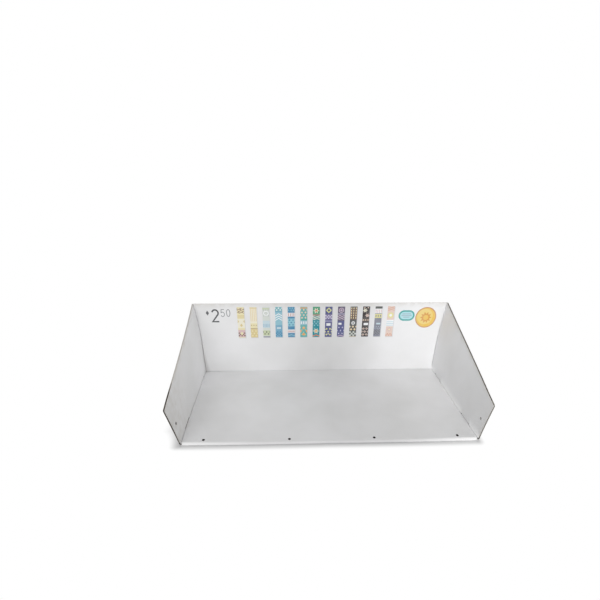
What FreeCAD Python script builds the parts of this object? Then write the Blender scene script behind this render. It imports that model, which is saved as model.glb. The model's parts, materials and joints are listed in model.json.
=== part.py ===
# Cardboard display tray: one folded blank of corrugated board, open at the front, with the print
# on its back panel as thin fields of colour.
# Millimetres. +Z is up, the open front faces -Y, and the origin is the middle of the underside.
# The board runs from the lower panel round the rolled front edge into the floor panel above it.
# The back and side panels fold up from the lower panel, and flaps on the side panels go round
# behind the back panel, where they are glued.

import FreeCAD, Part
import os
import Sketcher

os.makedirs("parts", exist_ok=True)
doc = FreeCAD.newDocument("DisplayTray")

# Driving dimensions: alias, value, meaning
driving = [
    ("floorWidth", 584.0, "floor between the side panels"),
    ("floorDepth", 300.0, "front edge to the inner face of the back panel"),
    ("backHeight", 178.0, "floor to the top of the back panel"),
    ("board", 3.0, "board thickness"),
    ("plyGap", 0.2, "gap between the lower panel and the floor panel"),
    ("foldInner", 0.6, "inner radius of a fold"),
    ("edgeGap", 0.6, "gap between a cut edge and the wall beside it"),
    ("cornerRelief", 1.0, "cut corner at each end of a side fold, beyond the fold's radius"),
    ("foldLap", 12.0, "how far a side fold's strip reaches in under the floor"),
    ("sideLean", 3.5, "outward lean of the side panels, degrees"),
    ("tipForward", 29.0, "side panel's tip ahead of the front edge"),
    ("tipHeight", 92.0, "side panel's tip above the floor"),
    ("tipRadius", 3.0, "rounding of the tip"),
    ("flapWidth", 38.0, "glue flap along the back panel"),
    ("flapTaper", 9.0, "slant at each end of a glue flap"),
    ("flapTopDrop", 8.0, "glue flap below the top edge"),
    ("flapBottomRise", 10.0, "glue flap above the underside"),
    ("tabLength", 38.0, "lock tab along the floor's side edge"),
    ("tabRecess", 0.5, "end of a lock tab inside the side panel's outer face"),
    ("frontTabSetback", 66.0, "front edge to the middle of the front lock tab"),
    ("backTabSetback", 250.0, "front edge to the middle of the rear lock tab"),
    ("slotEndGap", 1.5, "slot beyond each end of its lock tab"),
    ("slotHeadroom", 1.8, "slot above the floor"),
    ("creaseInset", 8.0, "crease on the floor, inside the side edge"),
    ("creaseWidth", 1.0, "width of that crease"),
    ("creaseDepth", 0.4, "depth of that crease"),
    ("notchLength", 34.0, "gap at each end of the floor's rear edge"),
    ("notchWidth", 1.6, "width of that gap"),
    ("holeRadius", 2.8, "rivet holes"),
    ("holeEndInset", 40.0, "outer rivet holes inside the floor's side edges, before the row's shift"),
    ("holeSetback", 9.5, "front edge to the row of rivet holes"),
    ("holeRowShift", 4.5, "middle of that row to the right of the tray's middle"),
    ("sideHoleSetback", 5.5, "front edge to the hole in a side panel"),
    ("sideHoleHeight", 42.0, "that hole above the floor"),
    ("inkThickness", 0.2, "a printed field's thickness"),
    ("stripWidth", 16.8, "printed strip"),
    ("stripHeight", 78.0, "printed strip"),
    ("stripTopDrop", 8.0, "strips below the top edge"),
    ("stripEdgeGap", 90.0, "first strip inside the floor's left edge"),
    ("stripPillGap", 11.8, "between the last strip and the pill"),
    ("badgeRadius", 26.5, "printed round badge"),
    ("badgeRimWidth", 2.6, "ring round the badge"),
    ("badgeEdgeGap", 9.0, "badge inside the floor's right edge"),
    ("badgeTopGap", 10.5, "badge below the top edge"),
    ("pillWidth", 38.0, "printed pill beside the badge"),
    ("pillHeight", 24.0, "printed pill beside the badge"),
    ("pillGap", 3.0, "between the pill and the badge"),
    ("pillRise", 6.5, "middle of the pill above the badge's middle"),
]
stripCount = 13
holeCount = 4

sizes = doc.addObject("Spreadsheet::Sheet", "Sizes")
for row, (alias, amount, meaning) in enumerate(driving, start=1):
    sizes.set(f"A{row}", meaning)
    sizes.set(f"B{row}", str(amount))
    sizes.setAlias(f"B{row}", alias)
doc.recompute()

# Places that several features share, as expressions of the driving dimensions
floorTop = "(2 * Sizes.board + Sizes.plyGap)"
plyBase = "(Sizes.board + Sizes.plyGap)"
rollRadius = f"({floorTop} / 2)"
bendRadius = "(Sizes.board + Sizes.foldInner)"
cornerCut = f"({bendRadius} + Sizes.cornerRelief)"
topZ = f"({floorTop} + Sizes.backHeight)"
halfWidth = "(Sizes.floorWidth / 2)"
noseY = "(-(Sizes.floorDepth + Sizes.board) / 2)"
backOuterY = "((Sizes.floorDepth + Sizes.board) / 2)"
backInnerY = f"({backOuterY} - Sizes.board)"
floorRearY = f"({backInnerY} - Sizes.edgeGap)"
backBendY = f"({backOuterY} - {bendRadius})"
floorHalf = f"({halfWidth} - Sizes.edgeGap)"
lean = "Sizes.sideLean"
rollY = f"({noseY} + {rollRadius})"
tipY = f"({noseY} - Sizes.tipForward)"
tipZ = f"({floorTop} + Sizes.tipHeight)"
badgeX = f"({halfWidth} - Sizes.badgeEdgeGap - Sizes.badgeRadius)"
badgeZ = f"({topZ} - Sizes.badgeTopGap - Sizes.badgeRadius)"
pillRight = f"({badgeX} - Sizes.badgeRadius - Sizes.pillGap)"
pillLeft = f"({pillRight} - Sizes.pillWidth)"
firstStripX = f"(-{halfWidth} + Sizes.stripEdgeGap)"
lastStripX = f"({pillLeft} - Sizes.stripPillGap - Sizes.stripWidth)"
# A panel is trimmed out of a sheet that is this much larger all round
trimMargin = "(Sizes.board + Sizes.tipForward)"
# Points nearer to each other than this count as one
touching = 0.01


def number(expression):
    """Value of an expression of the driving dimensions."""
    found = sizes.evalExpression(str(expression))
    return float(getattr(found, "Value", found))


def innerX(z):
    """Inner face of the right side panel at height z."""
    return f"({halfWidth} + ({z} - {floorTop}) * tan({lean}))"


def outerX(z):
    """Outer face of the right side panel at height z."""
    return f"({innerX(z)} + Sizes.board / cos({lean}))"


def newBody(name):
    return doc.addObject("PartDesign::Body", name)


def newSketch(body, name, plane, offset=None):
    """Sketch on one of the body's own origin planes, moved along its normal by offset."""
    sketch = body.newObject("Sketcher::SketchObject", name)
    support = [item for item in body.Origin.OriginFeatures if item.Role == plane][0]
    sketch.AttachmentSupport = [(support, "")]
    sketch.MapMode = "FlatFace"
    if offset is not None:
        sketch.setExpression("AttachmentOffset.Base.z", offset)
    return sketch


def pin(sketch, element, point, across, up):
    """Hold a point at its distances from the sketch's origin."""
    for kind, expression in (("DistanceX", across), ("DistanceY", up)):
        if expression is not None:
            place = sketch.addConstraint(Sketcher.Constraint(kind, element, point, number(expression)))
            sketch.setExpression(f"Constraints[{place}]", str(expression))


def closedOutline(sketch, corners, arcs=None):
    """Closed outline through the corners. arcs maps an edge's number to its centre and turn."""
    arcs = arcs or {}
    points = [FreeCAD.Vector(number(x), number(y), 0) for x, y in corners]
    ends = []
    for edge, here in enumerate(points):
        there = points[(edge + 1) % len(points)]
        if edge in arcs:
            centreX, centreY, turn = arcs[edge]
            centre = FreeCAD.Vector(number(centreX), number(centreY), 0)
            circle = Part.Circle(centre, FreeCAD.Vector(0, 0, 1), (here - centre).Length)
            first, last = (here, there) if turn == "left" else (there, here)
            curve = Part.ArcOfCircle(circle, circle.parameter(first), circle.parameter(last))
            element = sketch.addGeometry(curve)
            ends.append((element, 1, 2) if turn == "left" else (element, 2, 1))
            pin(sketch, element, 3, centreX, None)
        else:
            element = sketch.addGeometry(Part.LineSegment(here, there))
            ends.append((element, 1, 2))
    for edge, (element, head, tail) in enumerate(ends):
        following = ends[(edge + 1) % len(ends)]
        sketch.addConstraint(Sketcher.Constraint("Coincident", element, tail, following[0], following[1]))
        pin(sketch, element, head, *corners[edge])


def rectangle(sketch, left, bottom, right, top):
    closedOutline(sketch, [(left, bottom), (right, bottom), (right, top), (left, top)])


def circle(sketch, across, up, radius):
    centre = FreeCAD.Vector(number(across), number(up), 0)
    element = sketch.addGeometry(Part.Circle(centre, FreeCAD.Vector(0, 0, 1), number(radius)))
    pin(sketch, element, 3, across, up)
    place = sketch.addConstraint(Sketcher.Constraint("Radius", element, number(radius)))
    sketch.setExpression(f"Constraints[{place}]", radius)


def pad(body, name, sketch, length, side="One side", away=False):
    feature = body.newObject("PartDesign::Pad", name)
    feature.Profile = sketch
    feature.SideType = side
    feature.Reversed = away
    feature.setExpression("Length", length)
    return feature


def cut(body, name, sketch, depth=None):
    """Cut the outline down by the depth, or through the whole body, and make sure that it cuts."""
    doc.recompute()
    before = body.Shape.Volume
    feature = body.newObject("PartDesign::Pocket", name)
    feature.Profile = sketch
    if depth is None:
        feature.Type = "ThroughAll"
        feature.SideType = "Symmetric"
    else:
        feature.Type = "Length"
        feature.setExpression("Length", depth)
    doc.recompute()
    if not body.Shape.Volume < before:
        raise RuntimeError(name + " cuts nothing")


def tabMiddle(setback):
    return f"({noseY} + {setback})"


def makeFloorAndBack():
    """Lower panel, rolled front edge, floor panel and back panel."""
    body = newBody("FloorAndBack")

    # Section from front to back: the roll at the front and the fold up into the back panel
    section = newSketch(body, "FoldSection", "YZ_Plane")
    closedOutline(section, [
        (floorRearY, floorTop),
        (rollY, floorTop),
        (rollY, 0),
        (backBendY, 0),
        (backOuterY, bendRadius),
        (backInnerY, bendRadius),
        (backBendY, "Sizes.board"),
        (rollY, "Sizes.board"),
        (rollY, plyBase),
        (floorRearY, plyBase),
    ], {
        1: (rollY, rollRadius, "left"),
        3: (backBendY, bendRadius, "left"),
        5: (backBendY, bendRadius, "right"),
        7: (rollY, rollRadius, "right"),
    })
    pad(body, "FoldedPanels", section, f"2 * {floorHalf}", "Symmetric")

    # The back panel widens upwards between the leaning side panels
    panel = newSketch(body, "BackOutline", "XZ_Plane", f"-{backOuterY}")
    topHalf = f"({floorHalf} + Sizes.backHeight * tan({lean}))"
    closedOutline(panel, [
        (f"-{floorHalf}", bendRadius),
        (floorHalf, bendRadius),
        (topHalf, topZ),
        (f"-{topHalf}", topZ),
    ])
    pad(body, "BackPanel", panel, "Sizes.board")

    # Lock tabs on the floor panel's side edges
    tabs = newSketch(body, "LockTabOutline", "XY_Plane", plyBase)
    tabEnd = f"({halfWidth} + Sizes.board - Sizes.tabRecess)"
    tabRoot = f"({floorHalf} - Sizes.board)"
    for setback in ("Sizes.frontTabSetback", "Sizes.backTabSetback"):
        near = f"({tabMiddle(setback)} - Sizes.tabLength / 2)"
        far = f"({tabMiddle(setback)} + Sizes.tabLength / 2)"
        rectangle(tabs, tabRoot, near, tabEnd, far)
        rectangle(tabs, f"-{tabEnd}", near, f"-{tabRoot}", far)
    pad(body, "LockTabs", tabs, "Sizes.board")

    # Gaps at both ends of the floor panel's rear edge, in the upper ply only
    notches = newSketch(body, "RearNotchOutline", "XY_Plane", floorTop)
    notchFrontY = f"({floorRearY} - Sizes.notchWidth)"
    notchRearY = f"({floorRearY} + Sizes.edgeGap / 2)"
    notchInner = f"({halfWidth} - Sizes.notchLength)"
    rectangle(notches, notchInner, notchFrontY, halfWidth, notchRearY)
    rectangle(notches, f"-{halfWidth}", notchFrontY, f"-{notchInner}", notchRearY)
    cut(body, "RearNotches", notches, "Sizes.board + Sizes.plyGap / 2")

    # Creases beside the rear lock tabs
    creases = newSketch(body, "CreaseOutline", "XY_Plane", floorTop)
    creaseNear = f"({tabMiddle('Sizes.backTabSetback')} - Sizes.tabLength / 2)"
    creaseFar = f"({tabMiddle('Sizes.backTabSetback')} + Sizes.tabLength / 2)"
    creaseOuter = f"({halfWidth} - Sizes.creaseInset)"
    creaseInner = f"({creaseOuter} - Sizes.creaseWidth)"
    rectangle(creases, creaseInner, creaseNear, creaseOuter, creaseFar)
    rectangle(creases, f"-{creaseOuter}", creaseNear, f"-{creaseInner}", creaseFar)
    cut(body, "Creases", creases, "Sizes.creaseDepth")

    # Rivet holes along the front edge, through both plies
    holes = newSketch(body, "RivetHoleOutline", "XY_Plane")
    holeSpacing = f"((Sizes.floorWidth - 2 * Sizes.holeEndInset) / {holeCount - 1})"
    for place in range(holeCount):
        steps = place - (holeCount - 1) / 2
        across = f"(Sizes.holeRowShift + {steps} * {holeSpacing})"
        circle(holes, across, f"({noseY} + Sizes.holeSetback)", "Sizes.holeRadius")
    cut(body, "RivetHoles", holes)
    return body


def makeSide(name, hand):
    """Side panel with its fold and glue flap. hand is 1 on the right and -1 on the left."""
    body = newBody(name)

    # Section across the tray: the strip under the floor, the fold and the leaning panel
    section = newSketch(body, name + "Section", "XZ_Plane")
    centreX = f"({outerX(bendRadius)} - {bendRadius} / cos({lean}))"
    lapX = f"({halfWidth} - Sizes.foldLap)"
    sheetTop = f"({topZ} + {trimMargin})"
    right = [
        (lapX, "0"),
        (centreX, "0"),
        (f"({centreX} + {bendRadius} * cos({lean}))", f"({bendRadius} * (1 - sin({lean})))"),
        (outerX(sheetTop), sheetTop),
        (innerX(sheetTop), sheetTop),
        (f"({centreX} + Sizes.foldInner * cos({lean}))", f"({bendRadius} - Sizes.foldInner * sin({lean}))"),
        (centreX, "Sizes.board"),
        (lapX, "Sizes.board"),
    ]
    outward, inward = ("left", "right") if hand > 0 else ("right", "left")
    corners = [(f"{hand} * {x}", z) for x, z in right]
    closedOutline(section, corners, {
        1: (f"{hand} * {centreX}", bendRadius, outward),
        5: (f"{hand} * {centreX}", bendRadius, inward),
    })
    sheetLength = f"2 * (Sizes.floorDepth + Sizes.tipForward + {trimMargin})"
    pad(body, name + "Sheet", section, sheetLength, "Symmetric")

    # Side view of the panel. Its rear edge steps back by a board where the glue flap turns off
    trim = newSketch(body, name + "Outline", "YZ_Plane")
    flapTopZ = f"({topZ} - Sizes.flapTopDrop)"
    flapRearY = f"({backOuterY} + Sizes.board)"
    closedOutline(trim, [
        (f"({noseY} + {cornerCut})", f"-{trimMargin} / 2"),
        (f"({noseY} + {cornerCut})", "0"),
        (noseY, cornerCut),
        (tipY, tipZ),
        (backInnerY, topZ),
        (backOuterY, topZ),
        (backOuterY, flapTopZ),
        (flapRearY, flapTopZ),
        (flapRearY, "Sizes.flapBottomRise"),
        (backOuterY, "Sizes.flapBottomRise"),
        (backOuterY, cornerCut),
        (f"({backOuterY} - {cornerCut})", "0"),
        (f"({backOuterY} - {cornerCut})", f"-{trimMargin} / 2"),
    ])
    rectangle(trim, f"({tipY} - Sizes.floorDepth)", f"-{trimMargin}",
              f"({backOuterY} + Sizes.floorDepth)", f"({topZ} + 2 * {trimMargin})")
    cut(body, name + "Trim", trim)

    # Glue flap behind the back panel, slanted at both ends
    flap = newSketch(body, name + "FlapOutline", "XZ_Plane", f"-{flapRearY}")
    flapRoot = f"({halfWidth} - Sizes.board)"
    flapEnd = f"({halfWidth} - Sizes.flapWidth)"
    closedOutline(flap, [(f"{hand} * {x}", z) for x, z in (
        (innerX("Sizes.flapBottomRise"), "Sizes.flapBottomRise"),
        (innerX(flapTopZ), flapTopZ),
        (flapRoot, flapTopZ),
        (flapEnd, f"({flapTopZ} - Sizes.flapTaper)"),
        (flapEnd, "(Sizes.flapBottomRise + Sizes.flapTaper)"),
        (flapRoot, "Sizes.flapBottomRise"),
    )])
    pad(body, name + "Flap", flap, "Sizes.board")

    # Slots at floor level for the lock tabs
    slots = newSketch(body, name + "SlotOutline", "YZ_Plane")
    for setback in ("Sizes.frontTabSetback", "Sizes.backTabSetback"):
        reach = "(Sizes.tabLength / 2 + Sizes.slotEndGap)"
        rectangle(slots, f"({tabMiddle(setback)} - {reach})", "Sizes.board",
                  f"({tabMiddle(setback)} + {reach})", f"({floorTop} + Sizes.slotHeadroom)")
    cut(body, name + "Slots", slots)

    # Rivet hole near the front edge
    hole = newSketch(body, name + "HoleOutline", "YZ_Plane")
    circle(hole, f"({noseY} + Sizes.sideHoleSetback)", f"({floorTop} + Sizes.sideHoleHeight)",
           "Sizes.holeRadius")
    cut(body, name + "Hole", hole)

    roundEdge(body, name + "Tip", tipCorner, "Sizes.tipRadius")
    roundEdge(body, name + "FlapFold", flapCorner, bendRadius)
    return body


def tipCorner(edge):
    """The panel's foremost corner, an edge that runs through the board."""
    foremost = number(tipY)
    onTip = [abs(vertex.Point.y - foremost) < touching for vertex in edge.Vertexes]
    return len(onTip) == 2 and all(onTip)


def flapCorner(edge):
    """The outer edge where the side panel's face meets the back of the glue flap."""
    rear = number(f"{backOuterY} + Sizes.board")
    onCorner = []
    for vertex in edge.Vertexes:
        face = number(outerX(str(vertex.Point.z)))
        onRear = abs(vertex.Point.y - rear) < touching
        onFace = abs(abs(vertex.Point.x) - face) < touching
        onCorner.append(onRear and onFace)
    return len(onCorner) == 2 and all(onCorner)


def roundEdge(body, name, chosen, radius):
    doc.recompute()
    base = body.Tip
    names = [f"Edge{place}" for place, edge in enumerate(base.Shape.Edges, start=1) if chosen(edge)]
    if not names:
        raise RuntimeError(name + " finds no edge")
    feature = body.newObject("PartDesign::Fillet", name)
    feature.Base = (base, names)
    feature.setExpression("Radius", radius)
    doc.recompute()


def makeTray():
    """All panels of the blank, joined into the one sheet that they are."""
    panels = [makeFloorAndBack(), makeSide("RightSide", 1), makeSide("LeftSide", -1)]
    tray = doc.addObject("Part::MultiFuse", "Tray")
    tray.Shapes = panels
    tray.Refine = True
    tray.Label = "display_tray"
    return tray


def makeStrip(place):
    """One printed strip, counted from the left."""
    strip = doc.addObject("Part::Box", f"Strip{place + 1:02d}")
    strip.setExpression("Length", "Sizes.stripWidth")
    strip.setExpression("Width", "Sizes.inkThickness")
    strip.setExpression("Height", "Sizes.stripHeight")
    pitch = f"(({lastStripX} - {firstStripX}) / {stripCount - 1})"
    strip.setExpression("Placement.Base.x", f"{firstStripX} + {place} * {pitch}")
    strip.setExpression("Placement.Base.y", f"{backInnerY} - Sizes.inkThickness")
    strip.setExpression("Placement.Base.z", f"{topZ} - Sizes.stripTopDrop - Sizes.stripHeight")
    strip.Label = f"print_strip_{place + 1:02d}"
    return strip


def disc(name, radius):
    """Round printed field at the badge's place, flat on the back panel."""
    field = doc.addObject("Part::Cylinder", name)
    field.setExpression("Radius", radius)
    field.setExpression("Height", "Sizes.inkThickness")
    field.Placement.Rotation = FreeCAD.Rotation(FreeCAD.Vector(1, 0, 0), 90)
    field.setExpression("Placement.Base.x", badgeX)
    field.setExpression("Placement.Base.y", backInnerY)
    field.setExpression("Placement.Base.z", badgeZ)
    return field


def makeBadge():
    """Round badge: a face and the ring round it."""
    faceRadius = "(Sizes.badgeRadius - Sizes.badgeRimWidth)"
    face = disc("BadgeFace", faceRadius)
    face.Label = "print_badge_face"
    rim = doc.addObject("Part::Cut", "BadgeRim")
    rim.Base = disc("BadgeOuter", "Sizes.badgeRadius")
    rim.Tool = disc("BadgeInner", faceRadius)
    rim.Label = "print_badge_rim"
    return [face, rim]


def makePill():
    """Long rounded field beside the badge."""
    body = newBody("Pill")
    outline = newSketch(body, "PillOutline", "XZ_Plane", f"-{backInnerY}")
    endRadius = "(Sizes.pillHeight / 2)"
    middleZ = f"({badgeZ} + Sizes.pillRise)"
    leftCentre = f"({pillLeft} + {endRadius})"
    rightCentre = f"({pillRight} - {endRadius})"
    closedOutline(outline, [
        (leftCentre, f"({middleZ} - {endRadius})"),
        (rightCentre, f"({middleZ} - {endRadius})"),
        (rightCentre, f"({middleZ} + {endRadius})"),
        (leftCentre, f"({middleZ} + {endRadius})"),
    ], {
        1: (rightCentre, middleZ, "left"),
        3: (leftCentre, middleZ, "left"),
    })
    pad(body, "PillField", outline, "Sizes.inkThickness")
    body.Label = "print_pill"
    return body


nodes = [makeTray()]
nodes += [makeStrip(place) for place in range(stripCount)]
nodes += makeBadge()
nodes.append(makePill())
doc.recompute()

for item in doc.Objects:
    if "Invalid" in item.State or "Error" in item.State:
        raise RuntimeError(item.Label + " failed: " + ", ".join(item.State))
for node in nodes:
    if node.Shape.isNull() or not node.Shape.isValid() or len(node.Shape.Solids) != 1:
        raise RuntimeError(node.Label + " is not one sound solid")
for node in nodes:
    node.Shape.exportStep("parts/" + node.Label + ".step")
    print(node.Label, round(node.Shape.Volume, 1), "cubic mm")
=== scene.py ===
# Folded display tray of white lined corrugated board: its surfaces, raw edges and printing
# Metres, +Z up, the open front towards -Y

import json
import math

import bmesh
import bpy
from mathutils import Matrix, Vector


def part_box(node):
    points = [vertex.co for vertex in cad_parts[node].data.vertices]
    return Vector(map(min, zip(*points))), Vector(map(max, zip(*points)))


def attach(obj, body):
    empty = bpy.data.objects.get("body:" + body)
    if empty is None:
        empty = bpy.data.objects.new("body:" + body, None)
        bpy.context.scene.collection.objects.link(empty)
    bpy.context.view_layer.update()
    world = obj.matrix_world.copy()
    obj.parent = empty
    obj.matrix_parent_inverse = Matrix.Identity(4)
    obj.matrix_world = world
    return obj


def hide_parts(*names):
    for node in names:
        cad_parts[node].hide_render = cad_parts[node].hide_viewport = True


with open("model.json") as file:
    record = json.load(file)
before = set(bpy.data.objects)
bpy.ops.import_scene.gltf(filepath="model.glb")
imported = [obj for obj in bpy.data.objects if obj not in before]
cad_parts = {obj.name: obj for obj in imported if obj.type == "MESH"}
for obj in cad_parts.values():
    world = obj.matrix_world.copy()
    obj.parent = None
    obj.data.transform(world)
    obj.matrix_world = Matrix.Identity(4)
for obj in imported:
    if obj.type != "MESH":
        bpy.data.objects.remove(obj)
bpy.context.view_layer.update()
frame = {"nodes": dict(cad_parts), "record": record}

mounts = {mount["name"]: mount for mount in frame["record"]["mounts"]}

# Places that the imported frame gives
trayLow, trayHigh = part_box("display_tray")
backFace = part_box("print_strip_01")[1].y        # inner face of the back panel
noseLine = frame["record"]["physics"]["openings"][0]["box_m"][0][1]
_, holeRow, floorTop = mounts["outer_rivet_pair"]["pos_m"]
sideHoles = [Vector(mounts[name]["pos_m"]) for name in ("left_rivet_hole", "right_rivet_hole")]
hair = 0.0001                                   # two places that differ by this little are the same
print("frame read")


def held(value):
    # kept between 0 and 1
    return min(max(value, 0), 1)


def placed(name, data):
    # a new object in the scene
    piece = bpy.data.objects.new(name, data)
    bpy.context.scene.collection.objects.link(piece)
    return piece


def screen(red, green, blue):
    # a colour as it reads on a screen, 0 to 255
    parts = []
    for part in (red / 255, green / 255, blue / 255):
        parts.append(part / 12.92 if part <= 0.04045 else ((part + 0.055) / 1.055) ** 2.4)
    return (*parts, 1.0)


class NodeBoard:
    # one material with short ways to add and join its nodes

    def __init__(self, name):
        self.material = bpy.data.materials.new(name)
        self.material.use_nodes = True
        self.nodes = self.material.node_tree.nodes
        self.links = self.material.node_tree.links
        self.shader = self.nodes["Principled BSDF"]
        self.place = self.nodes.new("ShaderNodeTexCoord").outputs["Object"]

    def join(self, source, target):
        # a node's output, or a plain value, into a socket
        if isinstance(source, (int, float, tuple)):
            target.default_value = source
        else:
            self.links.new(source, target)

    def feed(self, name, source):
        # the same into the surface
        self.join(source, self.shader.inputs[name])

    def sum(self, operation, *values):
        node = self.nodes.new("ShaderNodeMath")
        node.operation = operation
        for socket, value in zip(node.inputs, values):
            self.join(value, socket)
        return node.outputs[0]

    def noise(self, scale, detail=2.0):
        node = self.nodes.new("ShaderNodeTexNoise")
        node.inputs["Scale"].default_value = scale
        node.inputs["Detail"].default_value = detail
        self.join(self.place, node.inputs["Vector"])
        return node.outputs["Fac"]

    def ramp(self, source, low, high, fromLow=0.0, fromHigh=1.0):
        node = self.nodes.new("ShaderNodeMapRange")
        node.inputs["From Min"].default_value = fromLow
        node.inputs["From Max"].default_value = fromHigh
        node.inputs["To Min"].default_value = low
        node.inputs["To Max"].default_value = high
        self.join(source, node.inputs["Value"])
        return node.outputs["Result"]

    def mix(self, amount, first, second):
        node = self.nodes.new("ShaderNodeMix")
        node.data_type = "RGBA"
        for name, value in (("Factor", amount), ("A", first), ("B", second)):
            self.join(value, node.inputs[name])
        return node.outputs["Result"]

    def axes(self):
        node = self.nodes.new("ShaderNodeSeparateXYZ")
        self.join(self.place, node.inputs[0])
        return node.outputs

    def bump(self, height, depth, before=None):
        node = self.nodes.new("ShaderNodeBump")
        node.inputs["Distance"].default_value = depth
        self.join(height, node.inputs["Height"])
        if before is not None:
            self.join(before, node.inputs["Normal"])
        return node.outputs["Normal"]

    def attribute(self, name):
        node = self.nodes.new("ShaderNodeAttribute")
        node.attribute_name = name
        return node.outputs["Fac"]


# Board surface: clay coated white liner over the flutes
linerLook = {
    "white": (224, 224, 225),
    "shade": (215, 215, 215),       # where the coating lies thinner
    "rubbed": (204, 201, 196),      # worn along raw edges and folds, and painted shade on the left side panel
    "creased": (247, 247, 247),     # painted highlight on the ends of the front fold and along the right fold
    "cornered": (186, 185, 184),    # painted shade in the left rear fold, darkest at its foot
    "cornerTall": 0.108,            # how far that shade reaches up, out along the back and along the side
    "cornerWide": 0.013,
    "cornerDeep": 0.012,
    "cornerAlong": 0.030,
    "cornerOnSide": 0.6,
    "cloudSize": 0.11,
    "clouds": (0.35, 0.70),
    "fibreSize": 0.0011,
    "fibres": (0.45, 0.80),
    "speckle": 0.16,
    "fibreDepth": 0.000012,
    "smudgeScale": 60.0,
    "smudges": (0.35, 0.65),
    "smudgeLeast": 0.25,
    "flutePitch": 0.0064,           # the flutes show faintly through the liner
    "fluteDepth": 0.000014,
    "roughness": (0.42, 0.56),
    "roughClouds": (0.3, 0.7),
    "rubbedRougher": 0.2,
    "gloss": 0.42,
}


def cornerShade(board, onSide, look=linerLook):
    # painted shade: 1 in the left rear fold at its foot, 0 away from it
    x, y, z = board.axes()
    up = board.ramp(z, 1.0, 0.0, floorTop, floorTop + look["cornerTall"])
    if onSide:
        behind = board.ramp(y, 0.0, 1.0, backFace - look["cornerAlong"], backFace)
        strength = board.sum("MULTIPLY", up, look["cornerOnSide"])
        return board.sum("MULTIPLY", board.sum("MULTIPLY", behind, behind), strength)
    leaned = board.sum("MULTIPLY", board.sum("SUBTRACT", z, floorTop), leanRise)
    fromFold = board.sum("ADD", board.sum("ADD", x, floorHalf), leaned)
    wide = board.sum("MAXIMUM", board.sum("MULTIPLY", up, look["cornerWide"]), 10 * hair)
    near = board.ramp(board.sum("DIVIDE", fromFold, wide), 1.0, 0.0)
    behind = board.ramp(y, 0.0, 1.0, backFace - look["cornerDeep"], backFace - 10 * hair)
    return board.sum("MULTIPLY", near, behind)


def linerMaterial(name, fluteAxis, look=linerLook):
    board = NodeBoard(name)
    clouds = board.noise(1 / look["cloudSize"], 3.0)
    fibres = board.noise(1 / look["fibreSize"], 3.0)
    cloudy = board.ramp(clouds, 0.0, 1.0, *look["clouds"])
    tone = board.mix(cloudy, screen(*look["white"]), screen(*look["shade"]))
    speckle = board.ramp(fibres, 0.0, look["speckle"], *look["fibres"])
    tone = board.mix(speckle, tone, screen(*look["shade"]))
    smudges = board.ramp(board.noise(look["smudgeScale"], 4.0), look["smudgeLeast"], 1.0, *look["smudges"])
    # edge wear, and painted shade on the left side panel, both broken up by the smudge noise
    rub = board.sum("MULTIPLY", board.attribute("rub"), smudges)
    tone = board.mix(rub, tone, screen(*look["rubbed"]))
    # painted highlight on the front fold's ends and along the right fold
    tone = board.mix(board.attribute("crease"), tone, screen(*look["creased"]))
    leftOnly = board.sum("LESS_THAN", board.axes()[0], 0.0)
    # painted shade in the left rear fold, on the left only
    corner = board.sum("MULTIPLY", cornerShade(board, fluteAxis == 2), leftOnly)
    tone = board.mix(corner, tone, screen(*look["cornered"]))
    board.feed("Base Color", tone)
    rough = board.ramp(clouds, *look["roughness"], *look["roughClouds"])
    rough = board.sum("ADD", rough, board.sum("MULTIPLY", rub, look["rubbedRougher"]))
    board.feed("Roughness", rough)
    board.feed("Specular IOR Level", look["gloss"])
    along = board.axes()[fluteAxis]
    flutes = board.sum("SINE", board.sum("MULTIPLY", along, math.tau / look["flutePitch"]))
    normal = board.bump(flutes, look["fluteDepth"])
    board.feed("Normal", board.bump(fibres, look["fibreDepth"], normal))
    return board.material


# Raw cut edges: the liners' cut lips, the fluted middle sheet and the hollows between them, darkened with
# painted shade
rawLook = {
    "lip": {"light": (204, 202, 198), "dark": (168, 162, 154), "grain": 1500.0, "rough": 0.80},
    "middle": {"light": (150, 139, 124), "dark": (104, 94, 82), "grain": 900.0, "rough": 0.85},
    # the hollows' dark is painted shade over the paper's own grey-brown
    "hollow": {"light": (88, 83, 77), "dark": (62, 59, 56), "grain": 700.0, "rough": 0.90},
    # the hole walls' near-black is painted shade over the paper's own grey-brown
    "hole": {"light": (44, 41, 38), "dark": (26, 24, 23), "grain": 700.0, "rough": 0.90},
    "shut": (224, 222, 218),        # painted light: the pale that a raw edge is lifted to
    "clouds": (0.0, 0.7, 0.3, 0.7),
    "fibres": (0.0, 0.5, 0.4, 0.75),
    "cloudSize": 12,                # against the grain's
    "roughSpread": 0.06,
    "fibreDepth": 0.00005,
    "gloss": 0.25,
}


def paperMaterial(name, kind):
    board = NodeBoard(name)
    paper = rawLook[kind]
    light, dark = screen(*paper["light"]), screen(*paper["dark"])
    fibres = board.noise(paper["grain"], 3.0)
    clouds = board.noise(paper["grain"] / rawLook["cloudSize"])
    tone = board.mix(board.ramp(clouds, *rawLook["clouds"]), light, dark)
    tone = board.mix(board.ramp(fibres, *rawLook["fibres"]), tone, dark)
    # painted light: raw edges lifted to pale by the crush mask
    board.feed("Base Color", board.mix(board.attribute("crush"), tone, screen(*rawLook["shut"])))
    low, high = paper["rough"] - rawLook["roughSpread"], paper["rough"] + rawLook["roughSpread"]
    board.feed("Roughness", board.ramp(fibres, low, high))
    board.feed("Specular IOR Level", rawLook["gloss"])
    board.feed("Normal", board.bump(fibres, rawLook["fibreDepth"]))
    return board.material


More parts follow.
